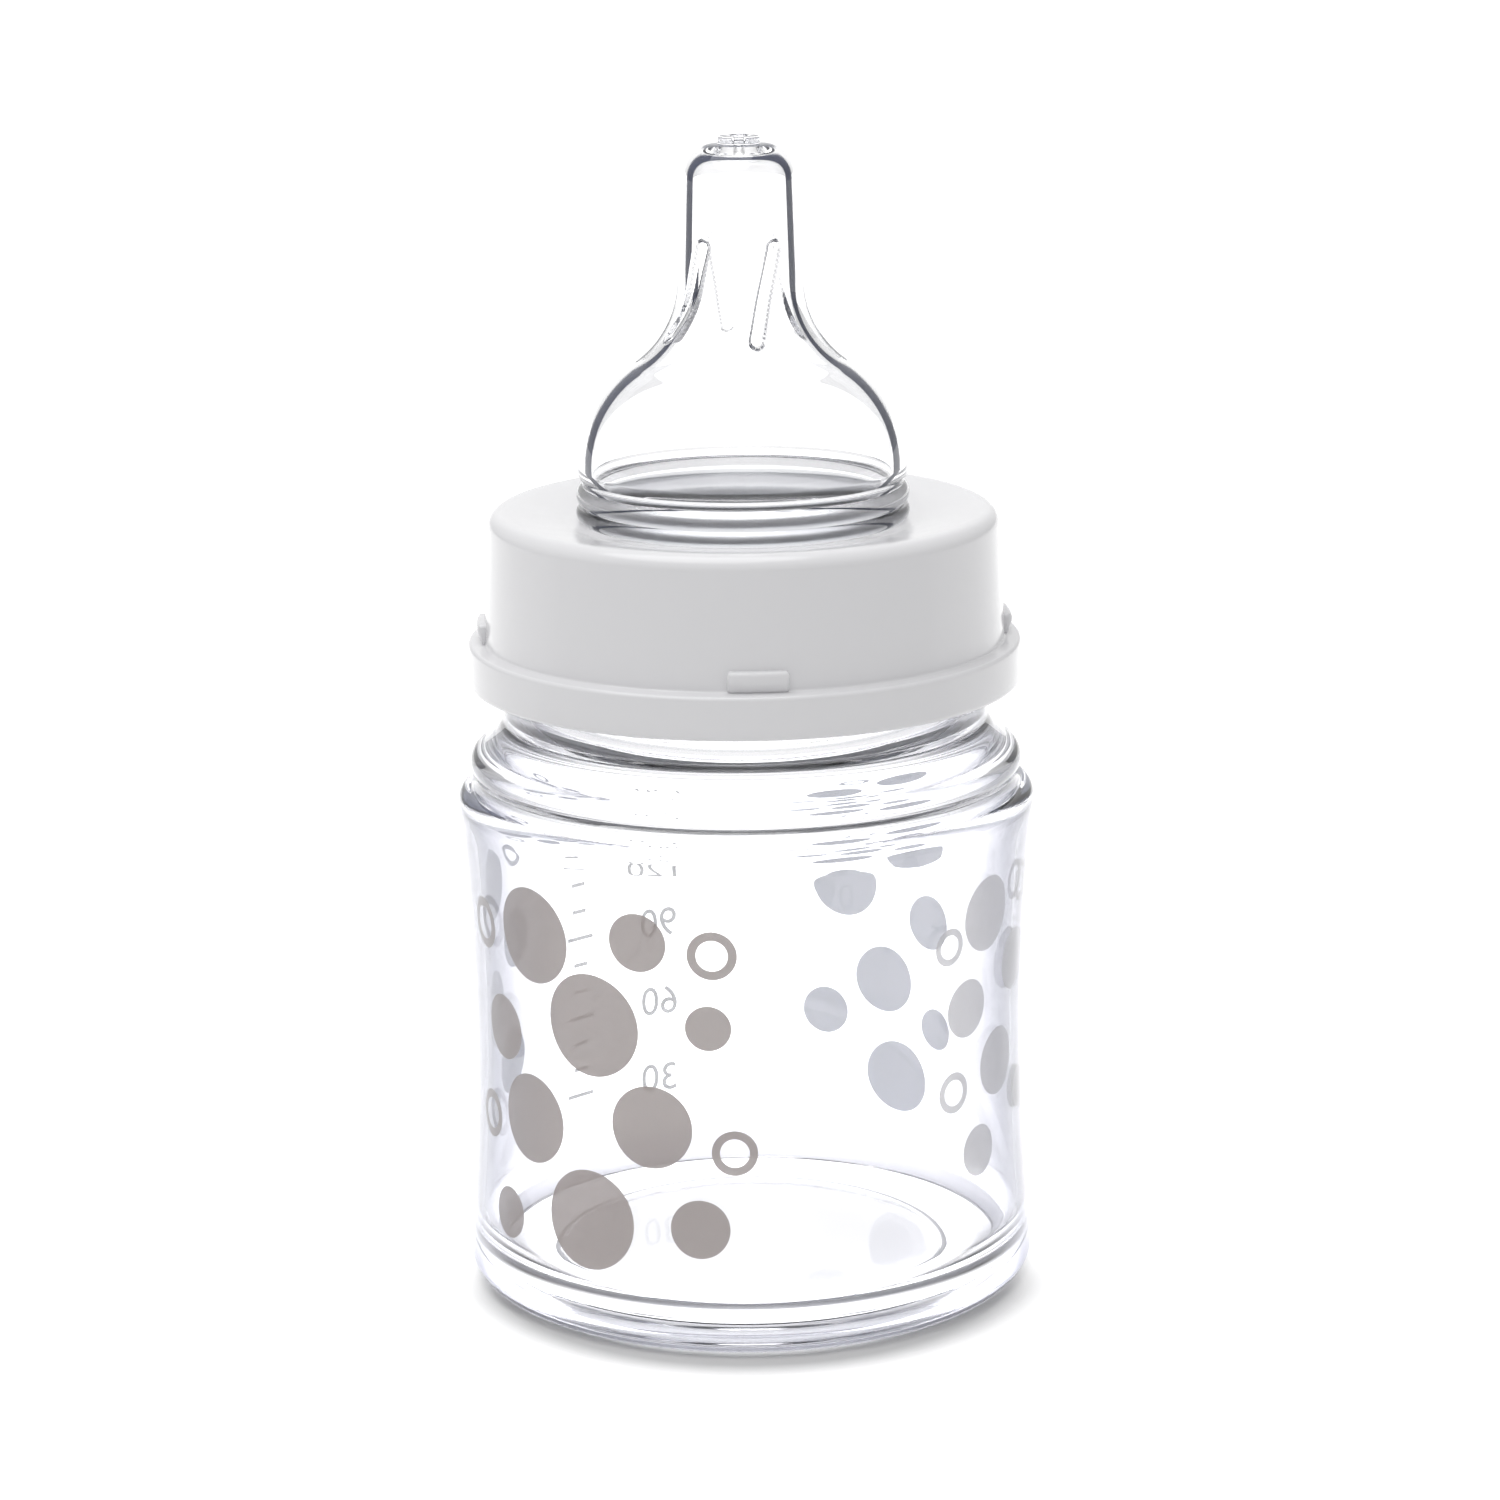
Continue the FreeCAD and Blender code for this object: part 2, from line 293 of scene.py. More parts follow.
def object_noise(nodes, links, scale, detail):
    """A noise pattern fixed to the piece."""
    place = nodes.new("ShaderNodeTexCoord")
    noise = nodes.new("ShaderNodeTexNoise")
    noise.inputs["Scale"].default_value = scale
    noise.inputs["Detail"].default_value = detail
    links.new(place.outputs["Object"], noise.inputs["Vector"])
    return noise.outputs["Fac"]


def noise_range(nodes, links, noise, low, high):
    """The noise spread over a range of values."""
    return map_range(nodes, links, noise, (0.3, 0.7), (low, high))


def add_bump(nodes, links, shader, height, strength, distance):
    """Makes the surface uneven by a shader value."""
    bump = nodes.new("ShaderNodeBump")
    bump.inputs["Strength"].default_value = strength
    bump.inputs["Distance"].default_value = distance
    links.new(height, bump.inputs["Height"])
    links.new(bump.outputs["Normal"], shader.inputs["Normal"])


def set_share(piece, name, share_at):
    """Keeps a value at each vertex of a piece for its material, from its radius, its height and its slope, which
    is 0 on an upright wall and 1 on a level one."""
    shares = piece.data.attributes.new(name, "FLOAT", "POINT")
    for vertex in piece.data.vertices:
        radius = math.hypot(vertex.co.x, vertex.co.y)
        shares.data[vertex.index].value = share_at(radius, vertex.co.z, abs(vertex.normal.z))


def read_share(nodes, name):
    """The value of that name as a shader value, 0 where the piece has none."""
    share = nodes.new("ShaderNodeAttribute")
    share.attribute_name = name
    return share.outputs["Fac"]


squeeze_centre = 0.295


def facing_ramp(nodes, links, stops, squeeze=None):
    """A colour that changes from facing the viewer, at 0, to edge on, at 1. A squeeze draws it in to its centre."""
    facing = nodes.new("ShaderNodeLayerWeight").outputs["Facing"]
    if squeeze is not None:
        beyond = maths(nodes, links, "SUBTRACT", facing, squeeze_centre)
        facing = maths(nodes, links, "MULTIPLY_ADD", beyond, squeeze, squeeze_centre)
    return colour_ramp(nodes, links, facing, stops)


def clear_material(name, ior, tint_and_edge_shade, darkening_tint, dark_band, dark_share, dark_colour, edge_light, wave):
    """A clear moulding, polished and a little uneven, whose faint tint is darkened towards its edges as painted
    shade. Lamps shine through it, less so edge on. A darker tint goes on a given share, and a dark diffuse is
    painted on its inner wall in a band of angles and on the flank share, as painted shade for the room's dark."""
    material, nodes, links, shader = new_material(name)
    # Painted shade: the faint tint darkens towards the edges by facing; on the plain share it keeps the faint tint
    # instead.
    edge_shaded_tint = mix_colours(nodes, links, read_share(nodes, "plain"), facing_ramp(nodes, links, tint_and_edge_shade), tint_and_edge_shade[0][1])
    with_darkening = mix_colours(nodes, links, read_share(nodes, "darkened"), edge_shaded_tint, darkening_tint, "MULTIPLY")
    links.new(with_darkening, shader.inputs["Base Color"])
    shader.inputs["Transmission Weight"].default_value = 1
    shader.inputs["IOR"].default_value = ior
    polish = noise_range(nodes, links, object_noise(nodes, links, scale=160, detail=3), low=0.0, high=0.03)
    roughness = maths(nodes, links, "MAXIMUM", polish, read_share(nodes, "matt"))
    links.new(roughness, shader.inputs["Roughness"])
    unevenness = object_noise(nodes, links, scale=70, detail=1)
    add_bump(nodes, links, shader, unevenness, strength=wave, distance=0.0002)
    # Painted shade: a dark diffuse is mixed onto the inner wall in a band of facing angles, and onto the flank
    # share, where the real wall shows the room's dark.
    band_stops = [(0, 0), *zip(dark_band, (0, dark_share, dark_share, 0)), (1, 0)]
    band = facing_ramp(nodes, links, band_stops, read_share(nodes, "squeeze"))
    inside = nodes.new("ShaderNodeNewGeometry").outputs["Backfacing"]
    painted_dark_band = maths(nodes, links, "MULTIPLY", band, inside)
    painted_dark_lines = maths(nodes, links, "MAXIMUM", painted_dark_band, read_share(nodes, "flank"))
    dark = nodes.new("ShaderNodeBsdfDiffuse")
    dark.inputs["Color"].default_value = (*dark_colour, 1)
    seen = mix_shaders(nodes, links, painted_dark_lines, shader.outputs["BSDF"], dark.outputs["BSDF"])
    let_through = [(0, 0.96), (0.45, 0.93), (0.65, 0.47 + edge_light / 2), (1, edge_light)]
    lamp_way = nodes.new("ShaderNodeBsdfTransparent")
    links.new(facing_ramp(nodes, links, let_through), lamp_way.inputs["Color"])
    to_lamp = nodes.new("ShaderNodeLightPath").outputs["Is Shadow Ray"]
    surface = mix_shaders(nodes, links, to_lamp, seen, lamp_way.outputs["BSDF"])
    links.new(surface, nodes["Material Output"].inputs["Surface"])
    return material


def painted_heel_shade(radius, height, slope):
    """1 on the outside of the heel, where the plastic is thickest and painted shade darkens it grey-blue, and 0
    elsewhere.
    """
    return smooth_step(0.0300, 0.0315, radius) * (1 - smooth_step(0.0030, 0.0065, height))


# Painted shade: the bottle's faint tint darkens almost to black towards its edges, the heel's outside is darkened
# grey-blue, and a dark diffuse is mixed onto the inner wall in a band of angles.
plastic_tint_and_edge_shade = [(0, (0.985, 0.985, 0.99)), (0.30, (0.95, 0.95, 0.965)), (0.62, (0.37, 0.375, 0.43)),
                 (0.76, (0.12, 0.125, 0.165)), (1, (0.04, 0.042, 0.065))]
plain_share = 0.38
set_share(bottle, "darkened", painted_heel_shade)
set_share(bottle, "squeeze", lambda radius, height, slope: 1)
set_share(bottle, "plain", lambda radius, height, slope: plain_share * smooth_step(0.15, 0.45, slope))
bottle.data.materials.append(clear_material(
    "clear_plastic", ior=1.49, tint_and_edge_shade=plastic_tint_and_edge_shade, darkening_tint=(0.50, 0.505, 0.57),
    dark_band=(0.255, 0.262, 0.272, 0.30), dark_share=0.25, dark_colour=(0.36, 0.38, 0.47),
    edge_light=0.15, wave=0.015))
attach(bottle, "bottle")
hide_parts("bottle")

# Printed bubbles: a loose pattern of dots and rings in warm, pale and bluish grey, in clusters round the bottle.
# Screen-printed ink on the outside of the wall, a few hundredths of a millimetre thick.
ink_depth = 0.00004
bubbles = {
    "warm": [(-48, 0.0465, 0.0056), (-22, 0.0480, 0.0034), (-33, 0.0375, 0.0060), (-60, 0.0340, 0.0038),
             (-8, 0.0385, 0.0026), (-50, 0.0245, 0.0052), (-20, 0.0265, 0.0048), (-34, 0.0145, 0.0058),
             (-58, 0.0120, 0.0030), (-10, 0.0150, 0.0034)],
    "pale": [(56, 0.0475, 0.0044), (70, 0.0400, 0.0036), (50, 0.0370, 0.0034), (62, 0.0290, 0.0040),
             (76, 0.0235, 0.0026), (54, 0.0195, 0.0030)],
    "back": [(140, 0.0470, 0.0046), (157, 0.0385, 0.0044), (134, 0.0350, 0.0034), (147, 0.0265, 0.0042),
             (132, 0.0215, 0.0026), (162, 0.0215, 0.0030), (144, 0.0140, 0.0046), (-100, 0.0450, 0.0044),
             (-113, 0.0365, 0.0036), (-97, 0.0300, 0.0046), (-110, 0.0215, 0.0040), (-98, 0.0165, 0.0026)],
}
hoops = {
    "warm": [(-7, 0.0470, 0.0028), (-67, 0.0455, 0.0030), (-67, 0.0225, 0.0028), (-3, 0.0240, 0.0026)],
    "pale": [(44, 0.0450, 0.0022), (73, 0.0490, 0.0024), (46, 0.0275, 0.0024)],
    "back": [(155, 0.0490, 0.0022), (-115, 0.0475, 0.0024), (-88, 0.0385, 0.0020)],
}
hoop_width_share = 0.36
dot_inset_share = 0.26


def wrap_on_side(piece, angle, height):
    """Lays a flat piece on the bottle's side: across becomes round the axis and up stays up. 0 is the front."""
    for vertex in piece.data.vertices:
        level = height + vertex.co.y
        radius = side_radius(level) - ink_depth
        turn = math.radians(angle) + vertex.co.x / radius
        vertex.co = (radius * math.sin(turn), -radius * math.cos(turn), level)
    piece.data.update()


def join_pieces(pieces, name):
    """Makes one piece of several."""
    bpy.ops.object.select_all(action="DESELECT")
    for piece in pieces:
        piece.select_set(True)
    bpy.context.view_layer.objects.active = pieces[0]
    bpy.ops.object.join()
    pieces[0].name = name
    pieces[0].data.name = name
    return pieces[0]


def ink_material(name, colour, cover):
    """Matt ink with the faint mottling of a screen print, thin enough to let some light through."""
    material, nodes, links, shader = new_material(name)
    mottle = object_noise(nodes, links, scale=900, detail=4)
    darker = tuple(part * 0.93 for part in colour)
    lighter = tuple(min(part * 1.05, 1) for part in colour)
    links.new(mix_colours(nodes, links, mottle, darker, lighter), shader.inputs["Base Color"])
    links.new(noise_range(nodes, links, mottle, low=0.42, high=0.6), shader.inputs["Roughness"])
    shader.inputs["Alpha"].default_value = cover
    return material


ink_colours = {"warm": (0.46, 0.40, 0.38), "pale": (0.72, 0.71, 0.73), "back": (0.43, 0.47, 0.62)}
ink_cover = {"warm": 0.92, "pale": 0.78, "back": 0.78}
for tone in bubbles:
    discs = []
    for angle, height, radius in bubbles[tone] + hoops[tone]:
        bpy.ops.object.select_all(action="DESELECT")
        bpy.ops.mesh.primitive_circle_add(vertices=48, radius=radius, fill_type="NGON")
        disc = bpy.context.object
        bpy.ops.object.mode_set(mode="EDIT")
        bpy.ops.mesh.select_all(action="SELECT")
        if (angle, height, radius) in hoops[tone]:
            bpy.ops.mesh.inset(thickness=radius * hoop_width_share)
            bpy.ops.mesh.delete(type="FACE")
        else:
            for _ in range(3):
                bpy.ops.mesh.inset(thickness=radius * dot_inset_share)
        bpy.ops.object.mode_set(mode="OBJECT")
        wrap_on_side(disc, angle, height)
        discs.append(disc)
    print_piece = join_pieces(discs, f"{tone}_bubbles")
    print_piece.data.materials.append(ink_material(f"{tone}_ink", ink_colours[tone], ink_cover[tone]))
    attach(print_piece, "bottle")

# Printed scale: numbers and ticks for the filled volume in millilitres, on the back of the bottle.
# Screen-printed in the same way. The floor's height and the wall's inside radius set where each mark is.
scale_angle = 201
tick_angle = 222
first_mark = 0.0127
mark_step = 0.0102
ticks_per_step = 3
tick_count = 13
long_tick = 0.0042
short_tick = 0.0022
tick_width = 0.00045
digit_size = 0.0052
marks = []
for step, label in enumerate(["30", "60", "90", "120"]):
    bpy.ops.object.select_all(action="DESELECT")
    bpy.ops.object.text_add()
    number = bpy.context.object
    number.data.body = label
    number.data.size = digit_size
    number.data.align_x = "CENTER"
    number.data.align_y = "CENTER"
    bpy.ops.object.convert(target="MESH")
    number = bpy.context.object
    wrap_on_side(number, scale_angle, first_mark + step * mark_step)
    marks.append(number)
for step in range(tick_count):
    bpy.ops.object.select_all(action="DESELECT")
    bpy.ops.mesh.primitive_plane_add(size=1)
    tick = bpy.context.object
    tick_length = short_tick if step % ticks_per_step else long_tick
    bpy.ops.object.mode_set(mode="EDIT")
    bpy.ops.mesh.select_all(action="SELECT")
    bpy.ops.transform.resize(value=(tick_length, tick_width, 1))
    bpy.ops.object.mode_set(mode="OBJECT")
    wrap_on_side(tick, tick_angle, first_mark + step * mark_step / ticks_per_step)
    marks.append(tick)
scale_print = join_pieces(marks, "volume_scale")
scale_print.data.materials.append(ink_material("scale_ink", (0.42, 0.44, 0.47), 0.8))
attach(scale_print, "bottle")

# Teat: one soft clear silicone moulding, from the sealing flange on the bottle's rim, through the groove that
# holds the ring's plate, two beads, dome and flare, to the nipple and its nub with the feeding hole. Its foot is
# matt and tinted darker inside, four ribs spiral down the inside of the nipple and keep it open, and painted shade
# draws dark lines along the ribs' flanks and the teat's edges.
teat_low, teat_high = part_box("teat")
seal_bottom = teat_low[2]
seal_radius = teat_high[0]
seal_thickness = 0.0016
seal_top = seal_bottom + seal_thickness
seal_round = 0.0004
plate_thickness = 0.0016
plate_top = seal_top + plate_thickness
groove_radius = 0.0179
bead_root = 0.0184
bead_height = 0.0018
bead_top = plate_top + bead_height
bead_round = 0.00092
upper_bead_height = 0.0023
upper_bead_top = bead_top + upper_bead_height
upper_bead_round = 0.0013
skirt_radius = 0.0189
skirt_bend = 0.0014
skirt_straight = 0.0005
dome_height = 0.0955
flare_radius = 0.0120
flare_height = 0.1175
nipple_radius = 0.00715
nipple_top_radius = 0.00685
nub_top = teat_high[2]
nub_radius = 0.0024
nub_root_round = 0.0002
nub_round = 0.0004
nub_dip_radius = 0.0014
nub_dip_round = 0.0008
feeding_hole_top = 0.0006
feeding_hole = 0.0004
nub_height = 0.0009
nipple_top = nub_top - nub_height
tip_round = 0.0040
teat_wall = 0.0016
teat_steps = 224
reach = skirt_radius - nipple_radius
climb = flare_height - dome_height
both_arcs = (reach**2 + climb**2) / (2 * reach)
dome_round = both_arcs - flare_radius


def where_arcs_meet(inwards):
    """Radius and height where the flare goes over into the dome, on a surface moved inwards."""
    share = (flare_radius + inwards) / both_arcs
    centre = nipple_radius + flare_radius
    return centre - (centre - skirt_radius + dome_round) * share, flare_height - climb * share


teat = start_outline("soft_teat", groove_radius - teat_wall, seal_bottom)
line_to(seal_radius - seal_round, seal_bottom, 3)
arc_to(seal_radius, seal_bottom + seal_round, seal_round, 4)
line_to(seal_radius, seal_top - seal_round)
arc_to(seal_radius - seal_round, seal_top, seal_round, 4)
line_to(groove_radius, seal_top, 3)
line_to(groove_radius, plate_top, 2)
line_to(bead_root, plate_top)
arc_to(bead_root, bead_top, bead_round, 14)
arc_to(bead_root, upper_bead_top, upper_bead_round, 14)
arc_to(skirt_radius, dome_height - skirt_straight, -skirt_bend, 6)
line_to(skirt_radius, dome_height)
arc_to(*where_arcs_meet(0), dome_round, 36)
arc_to(nipple_radius, flare_height, -flare_radius, 32)
line_to(nipple_top_radius, nipple_top - tip_round, 30)
arc_to(nipple_top_radius - tip_round, nipple_top, tip_round, 16)
line_to(nub_radius + nub_root_round, nipple_top)
arc_to(nub_radius, nipple_top + nub_root_round, -nub_root_round, 3)
line_to(nub_radius, nub_top - nub_round)
arc_to(nub_radius - nub_round, nub_top, nub_round, 5)
line_to(nub_dip_radius, nub_top)
arc_to(feeding_hole_top, nub_top - nub_dip_round, nub_dip_round, 5)
line_to(feeding_hole, nipple_top - teat_wall)
line_to(nipple_top_radius - tip_round, nipple_top - teat_wall, 3)
arc_to(nipple_top_radius - teat_wall, nipple_top - tip_round, -(tip_round - teat_wall), 12)
line_to(nipple_radius - teat_wall, flare_height, 48)
arc_to(*where_arcs_meet(teat_wall), flare_radius + teat_wall, 48)
arc_to(skirt_radius - teat_wall, dome_height, -(dome_round - teat_wall), 36)
line_to(groove_radius - teat_wall, bead_top, 6)
line_to(groove_radius - teat_wall, seal_bottom, 4)
turn_on_axis(teat_steps)

rib_count = 4
rib_top = 0.1222
rib_bottom = 0.1098
rib_twist = math.radians(34)
rib_start = math.radians(45)
rib_half_width = 0.00095
rib_height = 0.0008
rib_edge = 0.0003
rib_shade = 0.55
rib_margin = 0.001
inside_margin = 0.0004
flanks = [0.0] * len(teat.data.vertices)
for vertex in teat.data.vertices:
    height = vertex.co.z
    radius = math.hypot(vertex.co.x, vertex.co.y)
    below = max(flare_height - height, 0.0)
    bend = flare_radius + teat_wall
    if not rib_bottom - rib_margin < height < rib_top + rib_margin or below >= bend:
        continue
    wall_radius = nipple_radius - teat_wall + bend - math.sqrt(bend**2 - below**2)
    if radius > wall_radius + inside_margin:
        continue
    angle = math.atan2(vertex.co.x, -vertex.co.y)
    along = min(max(height, rib_bottom + rib_half_width), rib_top - rib_half_width)
    twisted = rib_twist * (rib_top - along) / (rib_top - rib_bottom)
    nearest = 1.0
    for rib in range(rib_count):
        rib_angle = rib_start + rib * 2 * math.pi / rib_count - twisted
        turn = (angle - rib_angle + math.pi) % (2 * math.pi) - math.pi
        nearest = min(nearest, math.hypot(turn * radius, height - along))
    rise = 1 - smooth_step(rib_half_width - rib_edge, rib_half_width, nearest)
    # Painted shade: the material draws a dark line along each rib's flank from this share.
    flanks[vertex.index] = 4 * rise * (1 - rise) * rib_shade
    push_out(vertex, -rib_height * rise)
teat.data.attributes.new("flank", "FLOAT", "POINT").data.foreach_set("value", flanks)


def edge_squeeze(radius, height, slope):
    """How far the painted dark band at the edge is drawn in: on the dome, less on the nipple and most on the nub.
    """
    on_nipple = smooth_step(0.1080, 0.1180, height)
    on_nub = smooth_step(0.1318, 0.1326, height)
    return 3.2 - 2.2 * on_nipple + 3 * on_nub


def matt_zone(radius, height, slope):
    """1 on the matt inside of the teat's foot, up to the beads, and 0 elsewhere."""
    below_beads = 1 - smooth_step(upper_bead_top - 0.0014, upper_bead_top - 0.0008, height)
    return below_beads if radius < groove_radius - 0.0003 else 0.0


matt_roughness = 0.42
# Painted shade: the silicone's tint darkens grey-blue towards its edges, and a near-black diffuse in a band of
# angles and on the rib flanks draws dark lines.
silicone_tint_and_edge_shade = [(0, (0.99, 0.99, 0.992)), (0.5, (0.97, 0.97, 0.98)), (0.8, (0.88, 0.885, 0.90)),
                  (1, (0.80, 0.81, 0.84))]
set_share(teat, "squeeze", edge_squeeze)
set_share(teat, "matt", lambda radius, height, slope: matt_roughness * matt_zone(radius, height, slope))
# The matt inside of the teat's foot is also tinted darker.
set_share(teat, "darkened", matt_zone)
teat.data.materials.append(clear_material(
    "clear_silicone", ior=1.41, tint_and_edge_shade=silicone_tint_and_edge_shade, darkening_tint=(0.74, 0.755, 0.79),
    dark_band=(0.286, 0.296, 0.385, 0.41), dark_share=0.97, dark_colour=(0.055, 0.062, 0.095),
    edge_light=0.85, wave=0.02))
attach(teat, "teat")
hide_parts("teat")

# Screw ring: a stiff pale grey glossy moulding, with painted shade darkening its inside below the plate. Its plate,
# dished towards the teat's hole, presses the teat's flange on the rim, a thread ridge winds round its inside, and
# four bumps above the flange hold a hood.
ring_low, ring_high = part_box("screw_ring")
ring_bottom = ring_low[2]
ring_top = ring_high[2]
ring_lip = 0.0004
ring_flange_radius = 0.0320
flange_height = 0.0050
flange_top = ring_bottom + flange_height
flange_round = 0.0006
flange_top_round = 0.0005
flange_draft = 0.0001
ring_wall_radius = 0.0300
ring_wall_root = 0.0003
ring_shoulder = 0.0294
ring_corner = 0.0018
ring_dish = 0.0500
ring_hole = 0.0182
ring_hole_flat = 0.0018
ring_hole_round = 0.0002
ring_bore = 0.0282
ring_bore_corner = 0.0008
ring = start_outline("grey_screw_ring", ring_bore, ring_bottom + ring_lip)
arc_to(ring_bore + ring_lip, ring_bottom, ring_lip, 3)
line_to(ring_flange_radius - flange_round, ring_bottom, 2)
arc_to(ring_flange_radius, ring_bottom + flange_round, flange_round, 5)
line_to(ring_flange_radius - flange_draft, flange_top - flange_top_round, 3)
arc_to(ring_flange_radius - flange_draft - flange_top_round, flange_top, flange_top_round, 5)
line_to(ring_wall_radius + ring_wall_root, flange_top + flange_draft)
arc_to(ring_wall_radius, flange_top + flange_draft + ring_wall_root, -ring_wall_root, 3)
line_to(ring_shoulder, ring_top - ring_corner, 16)
arc_to(ring_shoulder - ring_corner, ring_top, ring_corner, 12)
arc_to(ring_hole + ring_hole_flat, plate_top, ring_dish, 10)
line_to(ring_hole + ring_hole_round, plate_top, 2)
arc_to(ring_hole, plate_top - ring_hole_round, ring_hole_round, 3)
line_to(ring_hole, seal_top)
line_to(ring_bore - ring_bore_corner, seal_top, 4)
arc_to(ring_bore, seal_top - ring_bore_corner, -ring_bore_corner, 4)
line_to(ring_bore, ring_bottom + ring_lip, 60)
turn_on_axis(turn_steps)
add_thread(ring, ring_bore, 0, thread_lead / 2, -thread_depth)

bump_count = 4
bump_width = 0.0068
bump_height = 0.0025
bump_depth = 0.0009
bump_root = 0.0008
bump_round = 0.0005
bump_foot_share = 0.35
bump_turn = 2.8
ring_pieces = [ring]
for number in range(bump_count):
    bpy.ops.object.select_all(action="DESELECT")
    bpy.ops.mesh.primitive_cube_add(size=1)
    snap_bump = bpy.context.object
    bpy.ops.object.mode_set(mode="EDIT")
    bpy.ops.mesh.select_all(action="SELECT")
    bpy.ops.transform.resize(value=(bump_width, bump_depth + bump_root, bump_height))
    bpy.ops.mesh.bevel(offset=bump_round, segments=4, affect="EDGES")
    bpy.ops.mesh.select_all(action="SELECT")
    bpy.ops.mesh.subdivide(number_cuts=2)
    bpy.ops.object.mode_set(mode="OBJECT")
    for vertex in snap_bump.data.vertices:
        rise = vertex.co.z / bump_height + 0.5
        out = 0.5 - vertex.co.y / (bump_depth + bump_root)
        swell = bump_root + bump_depth * min(bump_foot_share + rise, 1.0)
        radius = ring_wall_radius - bump_root + swell * out
        turn = math.radians(bump_turn + 360 / bump_count * number) + vertex.co.x / ring_wall_radius
        vertex.co = (radius * math.sin(turn), -radius * math.cos(turn), flange_top + bump_height * rise)
    bpy.ops.object.shade_smooth_by_angle(angle=crease_angle)
    ring_pieces.append(snap_bump)
join_pieces(ring_pieces, "grey_screw_ring")


def painted_inner_shade(radius, height, slope):
    """1 on the inside of the ring, below its plate, where painted shade darkens it, and 0 elsewhere."""
    return float(radius < ring_bore + 0.0001 and height < seal_top + 0.0001)


set_share(ring, "painted_inner_shade", painted_inner_shade)
ring_material, nodes, links, shader = new_material("ring_plastic")
speckle = object_noise(nodes, links, scale=400, detail=3)
ring_tone = mix_colours(nodes, links, speckle, (0.722, 0.720, 0.735), (0.730, 0.728, 0.743))
# Painted shade: the inside below the plate is multiplied darker.
inside_with_painted_shade = mix_colours(nodes, links, read_share(nodes, "painted_inner_shade"), ring_tone, (0.76, 0.77, 0.80), "MULTIPLY")
links.new(inside_with_painted_shade, shader.inputs["Base Color"])
links.new(noise_range(nodes, links, speckle, low=0.13, high=0.16), shader.inputs["Roughness"])
shader.inputs["Specular IOR Level"].default_value = 0.4
grain = object_noise(nodes, links, scale=2400, detail=2)
add_bump(nodes, links, shader, grain, strength=0.015, distance=0.0001)
ring.data.materials.append(ring_material)
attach(ring, "screw_ring")
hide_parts("screw_ring")

# Floor and light: a white sweep that the bottle stands on, lit from above by one large soft lamp.
# The background is white, with dimmer screens at both sides for the gloss. The floor keeps the shadow, and has a
# painted contact shadow round the front of the foot and a painted glow under the bottle.
bpy.ops.object.select_all(action="DESELECT")
bpy.ops.mesh.primitive_plane_add(size=12)
floor = bpy.context.object
floor.name = "floor"


def seen_rays(nodes, links):
    """1 for rays from the camera, through a clear piece or off a glossy one, and 0 for the rest."""
    path = nodes.new("ShaderNodeLightPath")
    direct = maths(nodes, links, "MAXIMUM", path.outputs["Is Camera Ray"], path.outputs["Is Transmission Ray"])
    return maths(nodes, links, "MAXIMUM", direct, path.outputs["Is Glossy Ray"])


shade_centre = (0, -0.004, 0)
shade_reach = 0.06
back_glow = (0.9, 0.9, 0.9)
back_floor_tone = (0.86, 0.86, 0.86)
floor_material, nodes, links, shader = new_material("white_floor")
shader.inputs["Roughness"].default_value = 0.7
shader.inputs["Specular IOR Level"].default_value = 0.1
place = nodes.new("ShaderNodeTexCoord").outputs["Object"]
distance = nodes.new("ShaderNodeVectorMath")
distance.operation = "DISTANCE"
distance.inputs[1].default_value = shade_centre
links.new(place, distance.inputs[0])
# Painted shadow and light: the floor's colour is darkened and its glow cut in a ring round the front of the foot,
# as a painted contact shadow; under the bottle it glows brighter, as painted light; behind the bottle it has no
# painted shadow and an even glow.
near = map_range(nodes, links, distance.outputs["Value"], (0, shade_reach))
glow_and_shadow_stops = [(0.42, 1.0), (0.475, 0.0), (0.515, 0.0), (0.57, 0.36), (0.65, 0.62)]
painted_shadow_stops = [(0.43, 0.86), (0.475, 0.64), (0.52, 0.64), (0.60, 0.86)]
behind = nodes.new("ShaderNodeSeparateXYZ")
links.new(place, behind.inputs["Vector"])
no_painted_shadow = map_range(nodes, links, behind.outputs["Y"], (-0.016, 0.012), smooth=True)
floor_glow = mix_colours(nodes, links, no_painted_shadow, colour_ramp(nodes, links, near, glow_and_shadow_stops), back_glow)
floor_tone_with_painted_shadow = mix_colours(nodes, links, no_painted_shadow, colour_ramp(nodes, links, near, painted_shadow_stops), back_floor_tone)
links.new(floor_tone_with_painted_shadow, shader.inputs["Base Color"])
shader.inputs["Emission Color"].default_value = (1, 1, 1, 1)
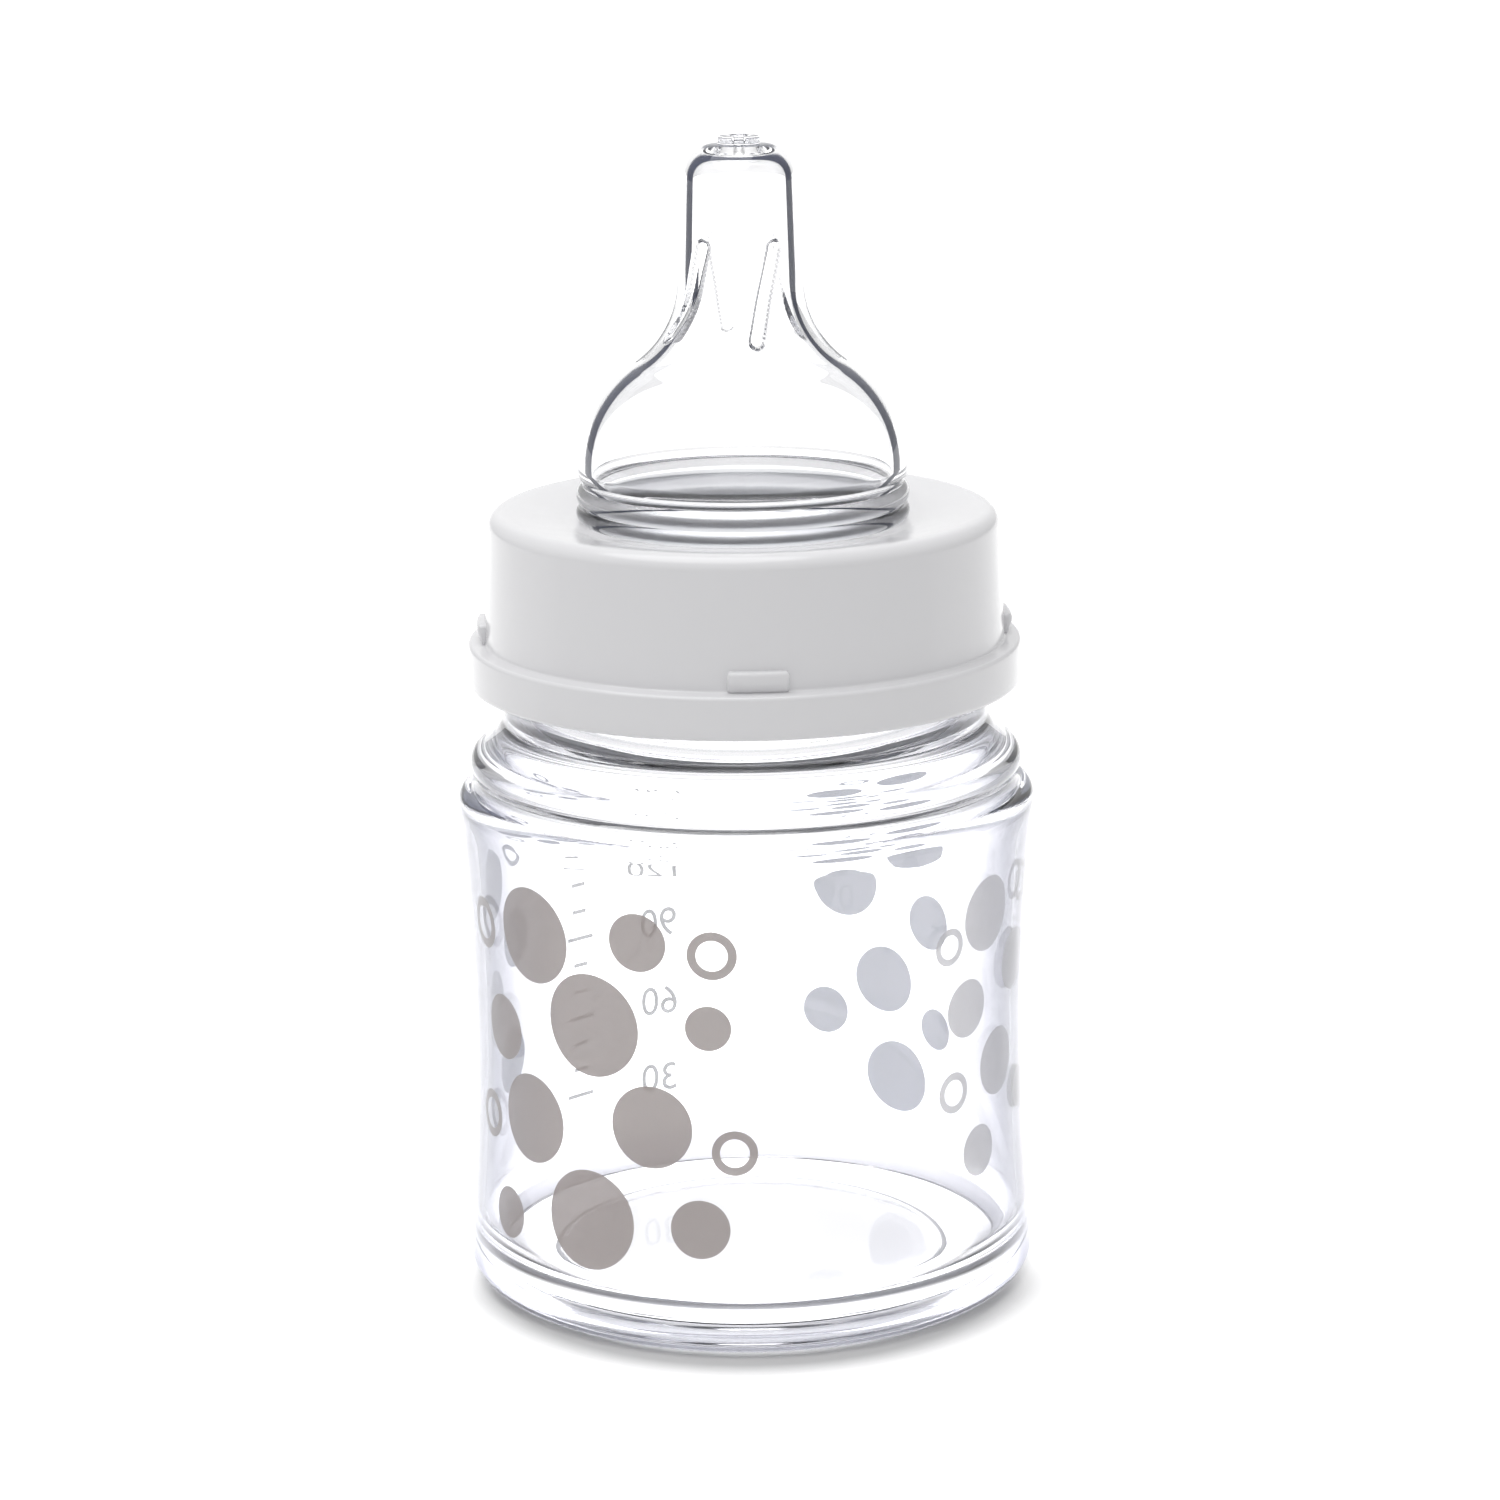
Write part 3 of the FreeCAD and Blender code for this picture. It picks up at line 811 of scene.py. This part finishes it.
glow_level = maths(nodes, links, "MULTIPLY", seen_rays(nodes, links), floor_glow)
links.new(glow_level, shader.inputs["Emission Strength"])
floor.data.materials.append(floor_material)

world = bpy.data.worlds.new("white_studio")
bpy.context.scene.world = world
world.use_nodes = True
nodes, links = world.node_tree.nodes, world.node_tree.links
background = nodes["Background"]
background.inputs["Color"].default_value = (1, 1, 1, 1)
level = map_range(nodes, links, seen_rays(nodes, links), (0, 1), (0.62, 1.0))
sideways = nodes.new("ShaderNodeSeparateXYZ")
links.new(nodes.new("ShaderNodeTexCoord").outputs["Object"], sideways.inputs["Vector"])
to_a_side = maths(nodes, links, "ABSOLUTE", sideways.outputs["X"])
screens = map_range(nodes, links, to_a_side, (0.2, 0.5), (0, -0.35))
mirrored = nodes.new("ShaderNodeLightPath").outputs["Is Glossy Ray"]
dimmed = maths(nodes, links, "MULTIPLY", screens, mirrored)
links.new(maths(nodes, links, "MULTIPLY_ADD", level, dimmed, level), background.inputs["Strength"])

lamp_place = (-0.15, -0.05, 0.9)
lamp_tilt = (math.radians(-3), math.radians(-9), 0)
bpy.ops.object.light_add(type="AREA", location=lamp_place)
lamp = bpy.context.object
lamp.name = "soft_lamp"
lamp.data.shape = "DISK"
lamp.data.size = 0.8
lamp.data.energy = 4.6
lamp.rotation_euler = lamp_tilt

# Camera: a long lens, a little above the bottle, looking down at it.
# Light is followed far enough to get through all the clear walls.
camera_place = (0.000494, -0.48314, 0.18275)
camera_pitch = 0.2445
camera_roll = -0.0112
bpy.ops.object.camera_add(location=camera_place)
camera = bpy.context.object
camera.name = "camera"
camera.rotation_mode = "XYZ"
camera.rotation_euler = (math.pi / 2 - camera_pitch, 0, 0)
camera.rotation_euler.rotate_axis("Z", camera_roll)
camera.data.sensor_width = 36
camera.data.lens = 102.73
camera.data.clip_start = 0.01
scene = bpy.context.scene
scene.camera = camera
scene.view_settings.view_transform = "Standard"
scene.cycles.max_bounces = 32
scene.cycles.glossy_bounces = 16
scene.cycles.transmission_bounces = 32
